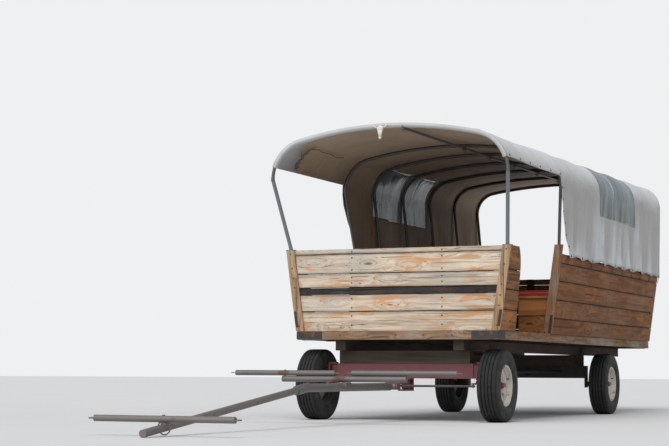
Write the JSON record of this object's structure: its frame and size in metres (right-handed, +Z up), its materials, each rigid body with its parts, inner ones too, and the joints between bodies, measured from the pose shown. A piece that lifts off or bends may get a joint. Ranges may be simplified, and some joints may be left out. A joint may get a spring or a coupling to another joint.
{
  "type": "covered wagon",
  "caption": "Horse-drawn passenger wagon with flared plank box, bowed canvas cover, side benches, steered front wheels and drawbar pole.",
  "frame": {"origin": "on the ground, under the middle of the whole length and width", "axes": "+Z up, -Y towards the pole's tip, +X to the wagon's left"},
  "size_m": [2.5494, 11.0888, 3],
  "materials": {
    "weathered_plank": "weathered, bare",
    "dark_strip": "dark, weathered",
    "stained_plank": "orange-brown stain, worn",
    "sill_timber": "stained, worn edge",
    "deck_plank": "bare, scuffed",
    "red_vinyl": "red padded vinyl",
    "canvas": "off-white coated canvas",
    "clear_vinyl": "clear flexible vinyl",
    "bow_steel": "dark paint, satin",
    "galvanised_steel": "galvanised, dull",
    "red_gear": "dark red paint, dusty",
    "dark_gear": "black paint, dusty",
    "pole_steel": "bare steel, brown patina",
    "wheel_white": "white enamel, rusty edges",
    "tyre_rubber": "dusty rubber"
  },
  "bodies": {
    "wagon": {"stringers": "sill_timber", "joists": "sill_timber", "deck": "deck_plank", "sill_boards": "sill_timber", "front_wall": "weathered_plank", "front_strip": "dark_strip", "front_rail": "weathered_plank", "front_return_left": "stained_plank", "front_return_right": "stained_plank", "side_wall_left": "stained_plank", "side_wall_right": "stained_plank", "rear_wall": "stained_plank", "corner_boards": "weathered_plank", "door_stakes": "weathered_plank", "wall_studs": "stained_plank", "side_benches": "stained_plank", "side_cushions": "red_vinyl", "driver_bench": "stained_plank", "driver_cushion": "red_vinyl", "canvas_cover": "canvas", "cover_windows": "clear_vinyl", "bow_legs": "bow_steel", "bow_corners": "bow_steel", "bow_crowns": "bow_steel", "front_arch": "bow_steel", "front_posts": "galvanised_steel", "ridge_pipe": "bow_steel", "front_axle": "red_gear", "rear_axle": "dark_gear", "reach": "dark_gear", "bolsters": "dark_gear"},
    "steering_base": {"steering_base": "red_gear"},
    "tie_rod": {"tie_rod": "dark_gear"},
    "knuckle_left": {"knuckle_left": "red_gear"},
    "knuckle_right": {"knuckle_right": "red_gear"},
    "tongue": {"tongue": "pole_steel", "pole": "pole_steel"},
    "evener": {"evener": "pole_steel"},
    "singletree_left": {"singletree_left": "pole_steel"},
    "singletree_right": {"singletree_right": "pole_steel"},
    "neck_yoke": {"neck_yoke": "pole_steel"},
    "wheel_front_left": {"tyre_front_left": "tyre_rubber", "rim_front_left": "wheel_white", "hub_front_left": "red_gear"},
    "wheel_front_right": {"tyre_front_right": "tyre_rubber", "rim_front_right": "wheel_white", "hub_front_right": "red_gear"},
    "wheel_rear_left": {"tyre_rear_left": "tyre_rubber", "rim_rear_left": "wheel_white", "hub_rear_left": "red_gear"},
    "wheel_rear_right": {"tyre_rear_right": "tyre_rubber", "rim_rear_right": "wheel_white", "hub_rear_right": "red_gear"}
  },
  "joints": [
    {"name": "steer", "type": "hinge", "parent": "wagon", "child": "steering_base", "pos_m": [0, -0.30556, 0.36], "axis": [0, 0, 1], "range_deg": [-25, 25]},
    {"name": "tie_rod_swing", "type": "hinge", "parent": "steering_base", "child": "tie_rod", "pos_m": [0, -0.48556, 0.352], "axis": [0, 0, 1], "range_deg": [-25, 25]},
    {"name": "kingpin_left", "type": "hinge", "parent": "wagon", "child": "knuckle_left", "pos_m": [0.78, -0.30556, 0.36], "axis": [0, 0, 1], "range_deg": [-25, 25]},
    {"name": "kingpin_right", "type": "hinge", "parent": "wagon", "child": "knuckle_right", "pos_m": [-0.78, -0.30556, 0.36], "axis": [0, 0, 1], "range_deg": [-25, 25]},
    {"name": "wheel_front_left_spin", "type": "hinge", "parent": "knuckle_left", "child": "wheel_front_left", "pos_m": [0.97, -0.30556, 0.36], "axis": [1, 0, 0], "continuous": true},
    {"name": "wheel_front_right_spin", "type": "hinge", "parent": "knuckle_right", "child": "wheel_front_right", "pos_m": [-0.97, -0.30556, 0.36], "axis": [1, 0, 0], "continuous": true},
    {"name": "wheel_rear_left_spin", "type": "hinge", "parent": "wagon", "child": "wheel_rear_left", "pos_m": [0.97, 3.72444, 0.36], "axis": [1, 0, 0], "continuous": true},
    {"name": "wheel_rear_right_spin", "type": "hinge", "parent": "wagon", "child": "wheel_rear_right", "pos_m": [-0.97, 3.72444, 0.36], "axis": [1, 0, 0], "continuous": true},
    {"name": "drawbar_lift", "type": "hinge", "parent": "steering_base", "child": "tongue", "pos_m": [0, -0.72556, 0.345], "axis": [-1, 0, 0], "range_deg": [0, 14]},
    {"name": "evener_swing", "type": "hinge", "parent": "tongue", "child": "evener", "pos_m": [0, -1.87556, 0.421], "axis": [0, 0, 1], "range_deg": [-20, 20]},
    {"name": "singletree_left_swing", "type": "hinge", "parent": "evener", "child": "singletree_left", "pos_m": [0.6, -1.87556, 0.476], "axis": [0, 0, 1], "range_deg": [-25, 25]},
    {"name": "singletree_right_swing", "type": "hinge", "parent": "evener", "child": "singletree_right", "pos_m": [-0.6, -1.87556, 0.476], "axis": [0, 0, 1], "range_deg": [-25, 25]},
    {"name": "neck_yoke_swing", "type": "hinge", "parent": "tongue", "child": "neck_yoke", "pos_m": [0, -5.23026, 0.13005], "axis": [0, -0.1104, 0.9939], "range_deg": [-25, 25]}
  ],
  "couplings": [
    {"joint": "tie_rod_swing", "follows": "steer", "ratio": -1},
    {"joint": "kingpin_left", "follows": "steer", "ratio": 1},
    {"joint": "kingpin_right", "follows": "steer", "ratio": 1}
  ]
}
